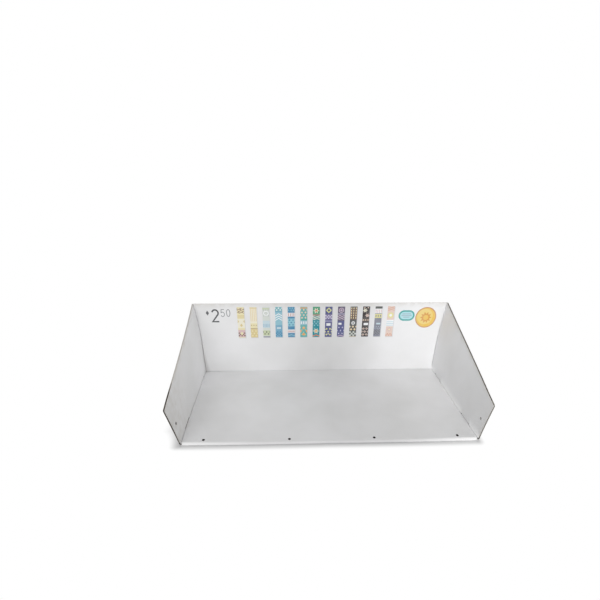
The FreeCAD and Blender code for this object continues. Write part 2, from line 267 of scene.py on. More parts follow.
# The folded blank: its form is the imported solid's, with open raw edges and the slight bow of real board
blank = {
    "board": 0.003,
    "floorHalf": 0.292,
    "lean": math.radians(3.5),
    "tipForward": 0.029,
    "tipHeight": 0.092,
    "tipRound": 0.003,
    "cornerCut": 0.0046,
    "slotTop": 0.008,
    "flapTopDrop": 0.008,
    "flapBottom": 0.010,
    "flapTaper": 0.009,
    "flapWidth": 0.038,
    "weld": 0.00002,
    "flat": 0.002,                  # faces that meet at less than this angle are made one
    "sharp": math.radians(28),
    "gridStep": 0.012,
    "sideFacing": 0.6,              # what faces sideways at least this much is a side panel
    "lipWidth": 0.0004,             # a liner's thickness at a raw edge
    "openDepth": 0.0022,            # how far a raw edge is open
    "rubReach": 0.009,              # how far in from a raw edge the liner is rubbed
    "wearCurve": 1.5,
    "leftBow": (0.0031, 1.25),      # how far a side fold pulls in, and above 1 that it does so high up
    "rightBow": (0.0034, 0.85),
    "sideBowReach": 0.07,
    "leftRack": (0.0030, -0.0015),  # how far a side's front stands over to the right, at its foot and tip
    "rightRack": (0.0027, -0.0034),
    "rackFrom": 0.270,              # out from here the floor goes with it
    "rackOver": 0.020,
    "noseBow": 0.0046,              # how far the front fold stands forward in the middle
    "noseReach": 0.045,
    "cornerForward": (0.0030, 0.0040),  # how far its left and right end stand forward
    "cornerReach": 0.010,
    "noseRound": 0.0038,
    "backBow": 0.0007,
    "backCrush": 0.85,              # painted light: how far each raw edge's dark is lifted to pale
    "leftCrush": 0.95,
    "leftCrushFrom": -0.135,        # where along the depth the left edge starts to be painted pale
    "leftCrushTo": -0.105,
    "rightCrush": 0.40,
    "tipOver": 0.004,               # how far above the tip that ends
    "plyHalf": 0.2914,              # the floor panel's side edges
    "slotSetbacks": (0.066, 0.250), # front fold to the middles of the lock tabs
    "slotHalf": 0.022,
    "rightClosed": 0.0006,          # how far the floor closes up to a side panel between the tabs
    "leftClosed": 0.0002,
    "footCrush": 0.60,              # at the foot of the left front edge
    "footTall": 0.030,
    "handled": 0.80,                # painted shade on the left side panel, from handledFrom forwards
    "handledFrom": -0.02,
    "handledOver": 0.11,
    "handledLess": 0.5,             # by how much it is less at the top
    "creaseFrom": 0.11,             # how far out the painted highlight on the front fold starts
    "creaseTo": 0.28,
    "foldWhite": 0.45,              # painted highlight on the right fold up to foldTall, and double in the fold
    "foldTall": 0.014,
    "foldWide": 0.0018,
}
bodyName = "root"
floorHalf = blank["floorHalf"]
leanRise = math.tan(blank["lean"])
outerBack = backFace + blank["board"]
tipTop = floorTop + blank["tipHeight"]
sideTall = trayHigh.z - floorTop
slotMiddles = [noseLine + setback for setback in blank["slotSetbacks"]]

surfaces = {
    "board": linerMaterial("liner_floor_and_back", 0),
    "side": linerMaterial("liner_sides", 2),
    "lip": paperMaterial("cut_lip", "lip"),
    "hollow": paperMaterial("flute_hollow", "hollow"),
    "hole": paperMaterial("rivet_hole_wall", "hole"),
}
middleSheet = paperMaterial("fluted_middle", "middle")
print("board materials made")


def sideAxis(hand):
    # outward across a side panel's board
    return Vector((hand * math.cos(blank["lean"]), 0, -math.sin(blank["lean"])))


def sideMiddle(hand, y, z):
    # a point in the middle of a side panel's thickness
    inner = floorHalf + (z - floorTop) * leanRise
    return Vector((hand * (inner + blank["board"] / 2 / math.cos(blank["lean"])), y, z))


def atSlot(y):
    return any(abs(y - middle) <= blank["slotHalf"] for middle in slotMiddles)


def settle(point):
    # where a point of the ideal blank lies once the board has bowed a little
    x, y, z = point
    high = held((z - floorTop) / sideTall)
    near = held(1 - (floorHalf - abs(x)) / blank["sideBowReach"])
    rear = held((y - noseLine) / (backFace - noseLine))
    bow, rise = blank["leftBow"] if x < 0 else blank["rightBow"]
    pull = bow * math.sin(math.pi * high ** rise) * near * near * rear
    across = min(abs(x) / floorHalf, 1)
    front = held((noseLine + blank["noseReach"] - y) / blank["noseReach"]) if z < 2 * floorTop else 0
    push = blank["noseBow"] * (1 - across * across) * front
    corner = held((noseLine + blank["cornerReach"] - y) / blank["cornerReach"])
    low = max(1 - z / tipTop, 0)
    push += blank["cornerForward"][0 if x < 0 else 1] * across * corner * low ** 2
    atBack = 1 if y > backFace - 10 * hair else 0
    belly = blank["backBow"] * math.cos(math.pi / 2 * across) * high * atBack
    foot, tip = blank["leftRack"] if x < 0 else blank["rightRack"]
    ahead = held((backFace - y) / (backFace - noseLine))
    outer = held((abs(x) - blank["rackFrom"]) / blank["rackOver"])
    up = min(z / tipTop, 1)
    sway = (foot + (tip - foot) * up) * outer * ahead ** 3
    atEdge = abs(abs(x) - blank["plyHalf"]) < 3 * hair and blank["board"] - hair < z < floorTop + hair
    if atEdge and not atBack and not atSlot(y):
        pull -= blank["rightClosed"] if x > 0 else blank["leftClosed"]
    return Vector((x - math.copysign(pull, x) + sway, y - push - belly, z))


def paleEdgeAt(point):
    # painted light: how far a raw edge's dark is lifted to pale, 0 not at all, 1 fully
    x, y, z = point
    if z < blank["slotTop"] + hair:
        return 0.0
    if y > backFace - 10 * hair:
        return blank["backCrush"]
    if x < 0:
        start, end = blank["leftCrushFrom"], blank["leftCrushTo"]
        foot = blank["footCrush"] * max(1 - (z - blank["slotTop"]) / blank["footTall"], 0)
        return max(blank["leftCrush"] * held((y - start) / (end - start)), foot)
    return blank["rightCrush"] * (1 - held((z - tipTop) / blank["tipOver"]))


def rawEdges():
    # straight raw edges of the blank: start, end, outward, across the board, run of the flutes
    along, upward = Vector((0, 1, 0)), Vector((0, 0, 1))
    edges = {"left_side": [], "right_side": [], "back": [], "flaps": []}
    tip = (noseLine - blank["tipForward"], tipTop)
    profile = [(noseLine, blank["slotTop"]), tip, (backFace, trayHigh.z), (outerBack, trayHigh.z)]
    for hand, name in ((-1, "left_side"), (1, "right_side")):
        across = sideAxis(hand)
        for first, last in zip(profile, profile[1:]):
            start, end = sideMiddle(hand, *first), sideMiddle(hand, *last)
            run = (end - start).normalized()
            outward = across.cross(run).normalized() * hand
            if first == tip:
                start = start + run * blank["tipRound"]
            if last == tip:
                end = end - run * blank["tipRound"]
            edges[name].append((start, end, outward, across, along))
        flapTop = trayHigh.z - blank["flapTopDrop"]
        flapEnd = hand * (floorHalf - blank["flapWidth"])
        flapRoot = hand * (floorHalf - blank["board"])
        corners = [(flapRoot, flapTop), (flapEnd, flapTop - blank["flapTaper"]),
                   (flapEnd, blank["flapBottom"] + blank["flapTaper"]), (flapRoot, blank["flapBottom"])]
        points = [Vector((x, outerBack + blank["board"] / 2, z)) for x, z in corners]
        for start, end in zip(points, points[1:]):
            run = (end - start).normalized()
            outward = run.cross(along) * -hand
            edges["flaps"].append((start, end, outward, along, Vector((1, 0, 0))))
    topHalf = floorHalf + sideTall * leanRise - 10 * hair
    middleY = backFace + blank["board"] / 2
    start, end = Vector((-topHalf, middleY, trayHigh.z)), Vector((topHalf, middleY, trayHigh.z))
    edges["back"].append((start, end, upward, along, upward))
    return edges


# How a raw face of the blank is told from a liner
raw = {
    "square": 0.3,                  # a cut face stands at least this square to its board
    "sideHole": 0.004,              # a side hole's wall is this near its middle
    "floorHole": 0.0029,            # a floor hole's wall is this near the row
    "level": 0.9,                   # the back's top edge faces up at least this much
    "fold": 0.010,                  # the front fold takes up this much of the depth, the rear one less
    "backFold": 0.005,
}


def rawKind(face):
    # "open" for a raw edge that shows its flutes, "plain" for a small one, "hole", or None for a liner
    centre = face.calc_center_median()
    x, y, z = centre
    hand = 1 if x > 0 else -1
    acrossSide = abs(face.normal.dot(sideAxis(hand))) < raw["square"]
    if any((centre - hole).length < raw["sideHole"] for hole in sideHoles):
        return "hole" if acrossSide else None
    if z < floorTop and abs(y - holeRow) < raw["floorHole"]:
        if abs(face.normal.z) < raw["square"] and abs(x) < floorHalf - raw["fold"]:
            return "hole"
    if z > trayHigh.z - hair / 2 and face.normal.z > raw["level"] and y > backFace:
        return "open"
    behindFold = y > noseLine + raw["fold"]
    # the lock tabs' tops beside the left front panel take the dark hollow colour: painted shade in the slots
    if abs(x) > floorHalf and abs(z - floorTop) < hair and behindFold:
        return "plain" if x < 0 and y < 0 else None
    reach = abs(x) - floorHalf - (z - floorTop) * leanRise
    onSide = -2 * hair < reach < blank["board"] / math.cos(blank["lean"]) + 2 * hair
    if onSide and acrossSide and y < outerBack + hair:
        inSlot = z < blank["slotTop"] + hair and behindFold and y < backFace - raw["backFold"]
        return "open" if z > blank["cornerCut"] and not inSlot else "plain"
    inFlap = y > outerBack + hair and abs(x) < floorHalf
    return "open" if inFlap and abs(face.normal.y) < raw["square"] else None


def paintedHighlightAt(point):
    # painted highlight: on the front fold most at its ends, and along the right fold
    x, y, z = point
    if x > blank["plyHalf"] - 2 * hair and floorTop - 10 * hair < z < blank["foldTall"]:
        if atSlot(y):
            return 0.0
        return blank["foldWhite"] * (2 if z < blank["slotTop"] + 3 * hair else 1)
    if y > noseLine + blank["noseRound"] or abs(x) > floorHalf + 5 * hair or z > floorTop + 5 * hair:
        return 0.0
    outward = (abs(x) - blank["creaseFrom"]) / (blank["creaseTo"] - blank["creaseFrom"])
    return held(outward) ** blank["wearCurve"]


def leftShadeAt(point):
    # painted shade on the left side panel: most at its lower front
    x, y, z = point
    if x > 5 * hair - floorHalf or z < floorTop:
        return 0.0
    forward = held((blank["handledFrom"] - y) / blank["handledOver"])
    return blank["handled"] * forward * (1 - blank["handledLess"] * (z - floorTop) / sideTall)


def nearestEdge(point, edges):
    best = 1.0
    for start, end, *_ in edges:
        run = end - start
        along = held((point - start).dot(run) / run.length_squared)
        best = min(best, (point - start - run * along).length)
    return best


def cutPlanes():
    # where the board gets edges to bend along: at the slots and folds, and then an even grid
    axes = [Vector([1 if place == axis else 0 for place in range(3)]) for axis in range(3)]
    nose = noseLine + blank["noseRound"]
    places = [(2, blank["slotTop"] + 2 * hair), (0, -floorHalf), (0, floorHalf),
              (0, blank["plyHalf"] - blank["foldWide"]), (1, nose - 2 * hair), (1, nose + 10 * hair)]
    cuts = [(axes[axis] * place, axes[axis]) for axis, place in places]
    for axis, normal in enumerate(axes):
        count = int((trayHigh[axis] - trayLow[axis]) / blank["gridStep"])
        step = (trayHigh[axis] - trayLow[axis]) / count
        cuts += [(trayLow + normal * step * place, normal) for place in range(1, count)]
    return cuts


def openEdges(work):
    # paints the faces and opens the raw ones: a narrow lip round a sunk hollow
    slotOf = {name: place for place, name in enumerate(surfaces)}
    opened = []
    for face in work.faces:
        kind = rawKind(face)
        face.smooth = kind is None
        face.material_index = slotOf["side" if abs(face.normal.x) > blank["sideFacing"] else "board"]
        if kind is not None:
            face.material_index = slotOf["hole" if kind == "hole" else "hollow"]
        if kind == "open":
            opened.append(face)
    options = {"faces": opened, "use_even_offset": False, "use_boundary": True}
    lips = bmesh.ops.inset_region(work, thickness=blank["lipWidth"], **options)["faces"]
    walls = bmesh.ops.inset_region(work, thickness=hair / 10, depth=-blank["openDepth"], **options)["faces"]
    # the opened hollows take the dark hollow colour: painted shade
    for faces, surface in ((lips, "lip"), (walls + opened, "hollow")):
        for face in faces:
            face.material_index = slotOf[surface]
            face.smooth = False


def foldedBlank():
    mesh = frame["nodes"]["display_tray"].data.copy()
    mesh.name = "folded_blank"
    mesh.materials.clear()
    for material in surfaces.values():
        mesh.materials.append(material)
    work = bmesh.new()
    work.from_mesh(mesh)
    bmesh.ops.remove_doubles(work, verts=work.verts, dist=blank["weld"])
    bmesh.ops.dissolve_limit(work, angle_limit=blank["flat"], verts=work.verts, edges=work.edges)
    for place, normal in cutPlanes():
        geometry = work.verts[:] + work.edges[:] + work.faces[:]
        bmesh.ops.bisect_plane(work, geom=geometry, dist=hair / 100, plane_co=place, plane_no=normal)
    openEdges(work)
    rub = work.verts.layers.float.new("rub")
    crush = work.verts.layers.float.new("crush")
    crease = work.verts.layers.float.new("crease")
    edges = rawEdges()
    insideEdges = edges["left_side"] + edges["right_side"] + edges["back"]
    for vertex in work.verts:
        behind = vertex.co.y > outerBack - hair
        near = nearestEdge(vertex.co, edges["flaps"] + insideEdges if behind else insideEdges)
        worn = max(0.0, 1 - near / blank["rubReach"]) ** blank["wearCurve"]
        # edge wear, and painted shade on the left side panel
        vertex[rub] = max(worn, 0.0 if behind else leftShadeAt(vertex.co))
        vertex[crease] = paintedHighlightAt(vertex.co)
        vertex[crush] = paleEdgeAt(vertex.co)
        vertex.co = settle(vertex.co)
    work.to_mesh(mesh)
    work.free()
    mesh.set_sharp_from_angle(angle=blank["sharp"])
    piece = placed("folded_blank", mesh)
    evened = piece.modifiers.new("evened_normals", "WEIGHTED_NORMAL")
    evened.keep_sharp = True
    evened.mode = "FACE_AREA"
    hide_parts("display_tray")
    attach(piece, bodyName)
    print("folded blank made,", len(mesh.polygons), "faces")


# The fluted middle sheet, as far as it shows in the raw edges
fluteSheet = {
    "pitch": 0.0064,
    "swing": 0.00082,
    "thickness": 0.00022,
    "proud": 0.0003,                # below the liners' lips
    "samplesPerWave": 14,
    "leastSamples": 8,
    "leastSlant": 0.05,
}


def fluteRibbon(work, crush, edge):
    start, end, outward, across, flutes = edge
    run = end - start
    length = run.length
    run.normalize()
    wave = fluteSheet["pitch"] / max(run.cross(flutes).length, fluteSheet["leastSlant"])
    count = max(int(length / wave * fluteSheet["samplesPerWave"]), fluteSheet["leastSamples"])
    rows = []
    for place in range(count + 1):
        travel = length * place / count
        turn = math.tau * travel / wave
        middle = start + run * travel + across * fluteSheet["swing"] * math.sin(turn)
        slope = fluteSheet["swing"] * math.tau / wave * math.cos(turn)
        thick = (across - run * slope).normalized() * fluteSheet["thickness"] / 2
        corners = []
        for depth, hand in ((fluteSheet["proud"], 1), (fluteSheet["proud"], -1),
                            (blank["openDepth"], -1), (blank["openDepth"], 1)):
            ideal = middle - outward * depth + thick * hand
            corner = work.verts.new(settle(ideal))
            corner[crush] = paleEdgeAt(ideal)
            corners.append(corner)
        rows.append(corners)
    for here, there in zip(rows, rows[1:]):
        for side in range(4):
            work.faces.new((here[side], here[(side + 1) % 4], there[(side + 1) % 4], there[side]))
    work.faces.new(rows[0])
    work.faces.new(rows[-1][::-1])


def fluteSheets():
    for name, group in rawEdges().items():
        mesh = bpy.data.meshes.new("flutes_" + name)
        work = bmesh.new()
        crush = work.verts.layers.float.new("crush")
        for edge in group:
            fluteRibbon(work, crush, edge)
        bmesh.ops.recalc_face_normals(work, faces=work.faces)
        work.to_mesh(mesh)
        work.free()
        mesh.materials.append(middleSheet)
        piece = placed("flutes_" + name, mesh)
        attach(piece, bodyName)
    print("fluted edges made")


foldedBlank()
fluteSheets()

# Printing inks, as they read on a screen
inks = {
    "straw": (224, 215, 173), "cream": (229, 224, 203), "gold": (210, 192, 138), "tan": (165, 138, 108),
    "rose": (207, 178, 179), "mist": (204, 209, 203), "ice": (190, 208, 216), "leaf": (188, 198, 160),
    "coal": (74, 74, 78), "sky": (140, 186, 200), "aqua": (118, 176, 184), "cornflower": (114, 164, 190),
    "blue": (74, 136, 172), "red": (178, 98, 90), "white": (232, 234, 235), "pool": (140, 192, 206),
    "teal": (98, 172, 172), "orange": (236, 162, 92), "peach": (240, 204, 170), "lagoon": (34, 140, 152),
    "fern": (72, 154, 116), "ember": (222, 126, 78), "navy": (82, 86, 136), "violet": (124, 112, 146),
    "lime": (208, 211, 144), "lilac": (196, 194, 220), "plum": (96, 88, 112), "mauve": (194, 176, 194),
    "slate": (132, 134, 146), "graphite": (84, 86, 84), "sand": (222, 202, 164), "umber": (118, 92, 80),
    "night": (62, 57, 56), "blush": (216, 194, 183), "lemon": (216, 211, 150), "salmon": (204, 158, 140),
    "rim": (190, 142, 104), "amber": (205, 148, 76), "sun": (219, 182, 86), "glow": (221, 197, 122),
    "mint": (166, 209, 215), "petrol": (72, 158, 155), "haze": (150, 169, 183),
    "numeral": (72, 74, 76), "numeralLight": (138, 140, 142), "mark": (96, 98, 100),
    "shadeNear": (203, 203, 206), "shadeFar": (214, 214, 216),
}
inkLook = {
    "fade": 0.10,
    "fadeTo": 0.62,
    "cloud": 90.0,
    "clouds": (0.35, 0.65),
    "grain": 1400.0,
    "grains": (0.55, 0.80),
    "grainMost": 0.5,
    "roughness": (0.30, 0.44),
    "gloss": 0.45,
    "depth": 0.000008,
}
inkMaterials = {}


def ink(name):
    # a printed ink with its slightly uneven lay on the coated liner
    if name in inkMaterials:
        return inkMaterials[name]
    board = NodeBoard("ink_" + name)
    colour = screen(*inks[name])
    faded = tuple(part + (inkLook["fadeTo"] - part) * inkLook["fade"] for part in colour[:3]) + (1.0,)
    grain = board.noise(inkLook["grain"])
    clouds = board.noise(inkLook["cloud"])
    tone = board.mix(board.ramp(clouds, 0.0, 1.0, *inkLook["clouds"]), colour, faded)
    tone = board.mix(board.ramp(grain, 0.0, inkLook["grainMost"], *inkLook["grains"]), tone, faded)
    board.feed("Base Color", tone)
    board.feed("Roughness", board.ramp(grain, *inkLook["roughness"]))
    board.feed("Specular IOR Level", inkLook["gloss"])
    board.feed("Normal", board.bump(grain, inkLook["depth"]))
    inkMaterials[name] = board.material
    return board.material


# How the print lies on the back panel
inkLay = {"layer": 0.000009, "proud": 0.00006, "into": 0.00001}


class PrintedPiece:
    # flat print, laid down shape by shape, each layer slightly proud of the last

    def __init__(self, name, nodes=(), slot="white_board", proud=inkLay["proud"], layer=inkLay["layer"]):
        self.name = name
        self.nodes = nodes
        self.slot = slot
        self.proud = proud
        self.layer = layer
        self.work = bmesh.new()
        self.names = []
        self.laid = 0

    def lay(self, inkName, *outlines):
        # one layer in one ink; an outline is a list of (x, z) on the back panel
        for outline in outlines:
            if len(outline) > 2:
                self.layShape(inkName, outline)
        self.laid += 1

    def layShape(self, inkName, outline):
        if inkName not in self.names:
            self.names.append(inkName)
        slot = self.names.index(inkName)
        forward = Vector((0, -self.proud - self.layer * self.laid, 0))
        near = [self.work.verts.new(settle(Vector((x, backFace + inkLay["into"], z)))) for x, z in outline]
        proud = [self.work.verts.new(vertex.co + forward) for vertex in near]
        faces = [self.work.faces.new(proud), self.work.faces.new(near[::-1])]
        for place in range(len(outline)):
            after = (place + 1) % len(outline)
            faces.append(self.work.faces.new((near[place], near[after], proud[after], proud[place])))
        for face in faces:
            face.material_index = slot

    def done(self):
        bmesh.ops.recalc_face_normals(self.work, faces=self.work.faces)
        mesh = bpy.data.meshes.new(self.name)
        self.work.to_mesh(mesh)
        self.work.free()
        for name in self.names:
            mesh.materials.append(ink(name))
        piece = placed(self.name, mesh)
        for node in self.nodes:
            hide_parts(node)
        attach(piece, bodyName)


def around(x, z, radius, angle):
    return x + radius * math.cos(angle), z + radius * math.sin(angle)


def disc(x, z, radius, points):
    return [around(x, z, radius, math.tau * turn / points) for turn in range(points)]


def arc(x, z, wide, tall, start, end, points=22):
    made = []
    for turn in range(points + 1):
        angle = math.radians(start + (end - start) * turn / points)
        made.append((x + wide * math.cos(angle), z + tall * math.sin(angle)))
    return made


def clipped(outline, low, high):
    # the part of a convex outline inside a rectangle
    for axis in (0, 1):
        for limit, sign in ((low[axis], 1), (high[axis], -1)):
            kept = []
            for place, here in enumerate(outline):
                there = outline[(place + 1) % len(outline)]
                hereIn = sign * (here[axis] - limit) >= 0
                thereIn = sign * (there[axis] - limit) >= 0
                if hereIn:
                    kept.append(here)
                if hereIn != thereIn:
                    share = (limit - here[axis]) / (there[axis] - here[axis])
                    kept.append(tuple(here[side] + (there[side] - here[side]) * share for side in (0, 1)))
            outline = kept
            if len(outline) < 3:
                return []
    return outline


# Motifs, in a strip's own widths: 0 to 1 across and 0 to 4.64 up from its foot
def field(low, high, left=0.0, right=1.0):
    return [[(left, low), (right, low), (right, high), (left, high)]]


def spot(across, up, radius, points=16):
    return [disc(across, up, radius, points)]


def staggered(low, high, columns, rows):
    # places in rows, every second row moved by half a step
    for row in range(rows):
        for column in range(columns + row % 2):
            yield (column + (0.0 if row % 2 else 0.5)) / columns, low + (high - low) * (row + 0.5) / rows


def dots(low, high, columns, rows, radius):
    return [spot(across, up, radius)[0] for across, up in staggered(low, high, columns, rows)]


def diamonds(low, high, columns, rows, half, tall):
    return [[(across - half, up), (across, up - tall), (across + half, up), (across, up + tall)]
            for across, up in staggered(low, high, columns, rows)]


def ring(across, up, radius, width, points=20):
    outer = disc(across, up, radius, points)
    inner = disc(across, up, radius - width, points)
    return [[outer[turn], outer[turn - 1], inner[turn - 1], inner[turn]] for turn in range(points)]


def chevrons(low, height, thick, count=1, step=0.5):
    made = []
    for place in range(count):
        up = low + step * place
        made.append([(0, up), (0.5, up + height), (0.5, up + height + thick), (0, up + thick)])
        made.append([(0.5, up + height), (1, up), (1, up + thick), (0.5, up + height + thick)])
    return made


def checks(low, rows, cell=0.25):
    made = []
    for row in range(rows):
        for column in range(row % 2, round(1 / cell), 2):
            made += field(low + row * cell, low + (row + 1) * cell, column * cell, (column + 1) * cell)
    return made


def pins(low, high, count, share):
    half = share / 2
    return [field(low, high, (place + 0.5 - half) / count, (place + 0.5 + half) / count)[0]
            for place in range(count)]


def bars(low, high, count, share=0.5):
    step = (high - low) / count
    return [field(low + step * place, low + step * (place + share))[0] for place in range(count)]


def slants(low, high, rise, thick, step):
    made = []
    up = low - abs(rise)
    while up < high + abs(rise):
        band = [(0, up), (1, up + rise), (1, up + rise + thick), (0, up + thick)]
        made.append(clipped(band, (0, low), (1, high)))
        up += step
    return made


def petals(across, up, radius, count=6, width=0.42, waist=0.55):
    made = []
    for place in range(count):
        turn = math.tau * place / count
        tip = around(across, up, radius, turn)
        near = [around(across, up, radius * waist, turn + side * width) for side in (-1, 1)]
        made.append([(across, up), near[0], tip, near[1]])
    return made


# Thirteen printed strips, left to right. Each lists its inks and their shapes in the order of printing
stripDesigns = [
    [("straw", field(0, 5)), ("cream", field(1.5, 2.9)), ("gold", bars(3.0, 3.5, 3)),
     ("tan", slants(3.7, 4.5, 0.5, 0.13, 0.30)), ("umber", dots(3.7, 4.5, 2, 2, 0.09)),
     ("gold", diamonds(1.6, 2.8, 1, 2, 0.22, 0.26)), ("rose", field(0.1, 1.2)),
     ("umber", checks(0.2, 3, 0.2)), ("straw", diamonds(0.2, 1.1, 1, 1, 0.24, 0.30))],
    [("cream", field(0, 5)), ("gold", field(0, 1.3)), ("straw", field(1.3, 2.2)),
     ("sand", pins(2.5, 4.5, 4, 0.4)), ("tan", bars(1.35, 1.55, 1)),
     ("straw", diamonds(0.1, 1.2, 2, 3, 0.14, 0.15)), ("tan", dots(1.7, 2.1, 3, 1, 0.07)),
     ("gold", bars(4.4, 4.65, 2))],
    [("mist", field(0, 5)), ("ice", field(1.5, 2.6)), ("leaf", field(0.3, 1.1)),
     ("coal", dots(0.4, 1.0, 2, 2, 0.10)), ("slate", bars(0.0, 0.22, 1, 0.8)),
     ("white", ring(0.5, 3.7, 0.38, 0.12)), ("slate", dots(3.1, 4.4, 3, 3, 0.05)),
     ("cornflower", pins(1.6, 2.1, 5, 0.3)), ("leaf", bars(4.3, 4.55, 1, 0.6))],
    [("sky", field(0, 5)), ("cornflower", field(0, 1.9)), ("aqua", field(4.0, 5)),
     ("white", chevrons(2.55, 0.32, 0.14, 3, 0.34)), ("blue", checks(0.15, 4, 0.2)),
     ("ice", field(1.3, 1.6, 0.2, 0.8)), ("white", dots(4.05, 4.6, 2, 2, 0.10)),
     ("blue", bars(3.88, 4.0, 1, 0.7))],
    [("blue", field(0, 5)), ("pool", field(1.7, 2.9)), ("blue", diamonds(1.75, 2.85, 2, 3, 0.15, 0.13)),
     ("white", field(3.2, 3.75)), ("red", pins(3.25, 3.7, 4, 0.35)), ("white", field(0.7, 1.2)),
     ("red", bars(0.8, 1.1, 2, 0.5)), ("pool", dots(4.0, 4.6, 3, 2, 0.09)),
     ("pool", chevrons(0.15, 0.2, 0.1))],
    [("teal", field(0, 5)), ("sky", field(1.9, 2.6)), ("orange", dots(0.2, 1.7, 1, 3, 0.20)),
     ("peach", diamonds(2.8, 4.4, 2, 4, 0.14, 0.15)), ("lemon", dots(0.2, 1.7, 2, 4, 0.07)),
     ("white", pins(2.05, 2.45, 3, 0.5)), ("orange", bars(4.4, 4.6, 1, 0.7)),
     ("fern", bars(2.66, 2.76, 1, 0.8))],
    [("lagoon", field(0, 5)), ("fern", field(3.5, 5)), ("cream", petals(0.5, 4.05, 0.46)),
     ("ember", spot(0.5, 4.05, 0.15)), ("cream", slants(2.7, 3.3, 0.35, 0.13, 0.26)),
     ("ember", bars(3.36, 3.48, 1, 0.8)), ("pool", dots(1.7, 2.5, 2, 3, 0.10)),
     ("cream", petals(0.5, 0.95, 0.46)), ("orange", spot(0.5, 0.95, 0.15)),
     ("ember", chevrons(0.05, 0.22, 0.14))],
    [("navy", field(0, 5)), ("violet", field(2.7, 3.5)), ("lime", diamonds(3.6, 4.6, 1, 1, 0.42, 0.44)),
     ("navy", diamonds(3.6, 4.6, 1, 1, 0.2, 0.22)), ("lilac", checks(2.8, 3, 0.2)),
     ("white", field(1.75, 2.15, 0.2, 0.8)), ("lime", dots(0.15, 1.5, 2, 3, 0.13)),
     ("cream", dots(0.15, 1.5, 1, 2, 0.09)), ("lilac", bars(2.4, 2.6, 2, 0.45))],
    [("navy", field(0, 5)), ("plum", field(2.5, 5)), ("mauve", spot(0.5, 4.1, 0.38, 20)),
     ("plum", ring(0.5, 4.1, 0.26, 0.1)), ("mauve", slants(2.7, 3.4, -0.5, 0.15, 0.30)),
     ("white", field(1.9, 2.2, 0.15, 0.6)), ("lilac", diamonds(0.3, 1.7, 2, 3, 0.10, 0.14)),
     ("mauve", chevrons(0.0, 0.2, 0.12)), ("lilac", bars(3.5, 3.62, 1, 0.8))],
    [("graphite", field(0, 5)), ("sand", pins(2.7, 4.5, 3, 0.42)), ("umber", bars(2.7, 4.5, 5, 0.35)),
     ("white", spot(0.5, 2.15, 0.26, 20)), ("graphite", spot(0.5, 2.15, 0.12)),
     ("sand", diamonds(0.95, 1.8, 2, 2, 0.18, 0.20)), ("mist", checks(0.1, 3)),
     ("sand", bars(0.0, 0.1, 1))],
    [("night", field(0, 5)), ("cream", petals(0.35, 4.05, 0.36)), ("blush", petals(0.7, 3.3, 0.34)),
     ("umber", field(2.45, 2.75)), ("cream", dots(2.45, 2.75, 3, 1, 0.08)),
     ("white", field(1.8, 2.15, 0.25, 0.9)), ("blush", diamonds(0.1, 1.5, 2, 3, 0.20, 0.18)),
     ("night", diamonds(0.1, 1.5, 2, 3, 0.09, 0.08)), ("blush", dots(4.3, 4.6, 2, 1, 0.09))],
    [("slate", field(0, 5)), ("graphite", field(4.3, 5)), ("white", field(3.6, 4.3)),
     ("rose", pins(3.65, 4.2, 4, 0.4)), ("lemon", field(2.9, 3.5)),
     ("slate", diamonds(2.95, 3.45, 3, 1, 0.12, 0.18)), ("ice", field(1.9, 2.15, 0.3, 0.9)),
     ("graphite", slants(0.3, 1.1, 0.6, 0.09, 0.26)), ("ice", dots(1.2, 1.7, 3, 2, 0.05))],
    [("blush", field(0, 5)), ("white", field(1.6, 2.6)), ("ice", bars(1.7, 2.5, 3, 0.5)),
     ("salmon", slants(4.0, 4.6, 0.3, 0.12, 0.26)), ("lemon", spot(0.5, 3.3, 0.42, 20)),
     ("white", spot(0.5, 3.3, 0.2, 20)), ("salmon", checks(0.1, 2, 0.2)),
     ("rose", diamonds(0.7, 1.5, 1, 1, 0.34, 0.34)), ("straw", spot(0.5, 1.1, 0.14))],
]
# A thin shadow beside each strip, moved to the right and down and grown by these
stripShade = {"proud": 0.00002, "steps": (("shadeFar", 0.0016, 0.0006), ("shadeNear", 0.0010, 0.0002))}


def printedStrips():
    shade = PrintedPiece("strip_shadows", proud=stripShade["proud"])
    for place, design in enumerate(stripDesigns, start=1):
        node = f"print_strip_{place:02d}"
        low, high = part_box(node)
        width = high.x - low.x
        piece = PrintedPiece(f"strip_print_{place:02d}", [node], f"ink_strip_{place:02d}")
        for inkName, shapes in design:
            outlines = [[(low.x + across * width, low.z + up * width) for across, up in shape]
                        for shape in shapes]
            piece.lay(inkName, *[clipped(outline, (low.x, low.z), (high.x, high.z)) for outline in outlines])
        piece.done()
        shade.laid = 0
        for inkName, moved, grown in stripShade["steps"]:
            left, right = low.x - grown + moved, high.x + grown + moved
            foot, top = low.z - grown - moved, high.z + grown - moved
            shade.lay(inkName, *field(foot, top, left, right))
    shade.done()
    print("printed strips made")


# Round badge with a plain sunburst
badge = {
    "rays": 10,
    "rayTip": 0.0150,
    "rayFoot": 0.0092,
    "heart": (0.0066, 40),          # radius and points, as in the next
    "glow": (0.0196, 56),
    "lift": 0.0022,
    "edgePoints": 64,
}


def printedBadge():
    low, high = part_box("print_badge_rim")
    faceLow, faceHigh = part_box("print_badge_face")
    x, z = (low.x + high.x) / 2, (low.z + high.z) / 2
    piece = PrintedPiece("badge_print", ["print_badge_face", "print_badge_rim"], "ink_badge_face")
    piece.lay("rim", disc(x, z, (high.x - low.x) / 2, badge["edgePoints"]))
    piece.lay("sun", disc(x, z, (faceHigh.x - faceLow.x) / 2, badge["edgePoints"]))
    piece.lay("glow", disc(x - badge["lift"], z + badge["lift"], *badge["glow"]))
    star = []
    for turn in range(2 * badge["rays"]):
        reach = badge["rayTip"] if turn % 2 == 0 else badge["rayFoot"]
        star.append(around(x, z, reach, math.pi * turn / badge["rays"]))
    piece.lay("amber", star)
    piece.lay("sun", disc(x, z, *badge["heart"]))
    piece.done()
    print("badge made")


